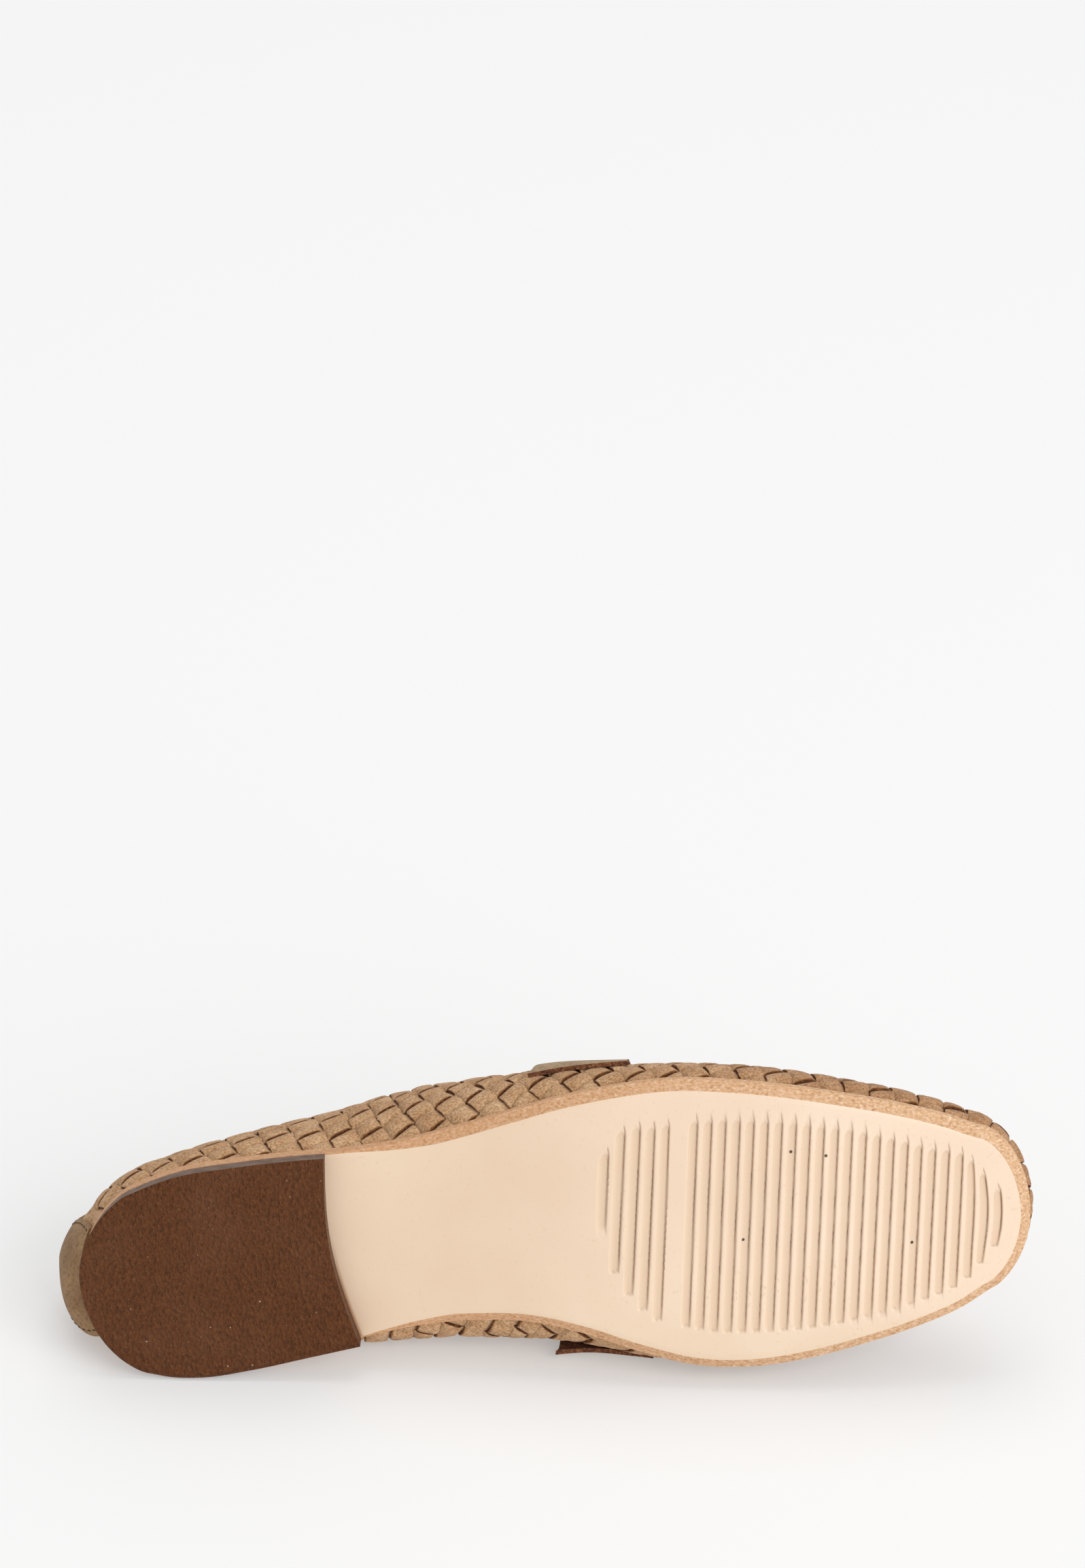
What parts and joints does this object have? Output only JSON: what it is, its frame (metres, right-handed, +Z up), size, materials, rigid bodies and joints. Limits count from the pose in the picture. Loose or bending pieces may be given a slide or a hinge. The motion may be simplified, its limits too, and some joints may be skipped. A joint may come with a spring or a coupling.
{
  "type": "woven loafer",
  "caption": "Right-foot slip-on loafer with a woven suede upper, saddle strap, ribbed leather outsole and rubber heel lift, lying on its inner side.",
  "frame": {"origin": "On the floor under the middle of the shoe's bounding box", "axes": "+X from heel to toe, +Z up from the floor that the shoe lies on, -Y the way the sole faces"},
  "size_m": [0.2662, 0.0708, 0.0878],
  "materials": {
    "sole_leather": "smooth natural leather with a raw edge",
    "heel_rubber": "pebbled dark brown rubber",
    "woven_suede": "napped taupe suede strips",
    "plain_suede": "napped olive-tan suede",
    "strap_suede": "napped beige suede with raw edges",
    "insole_leather": "smooth tan leather"
  },
  "bodies": {
    "root": {"outsole": "sole_leather", "heel_lift": "heel_rubber", "upper": "woven_suede", "backstay": "plain_suede", "saddle_strap": "strap_suede", "insole": "insole_leather"}
  },
  "joints": []
}
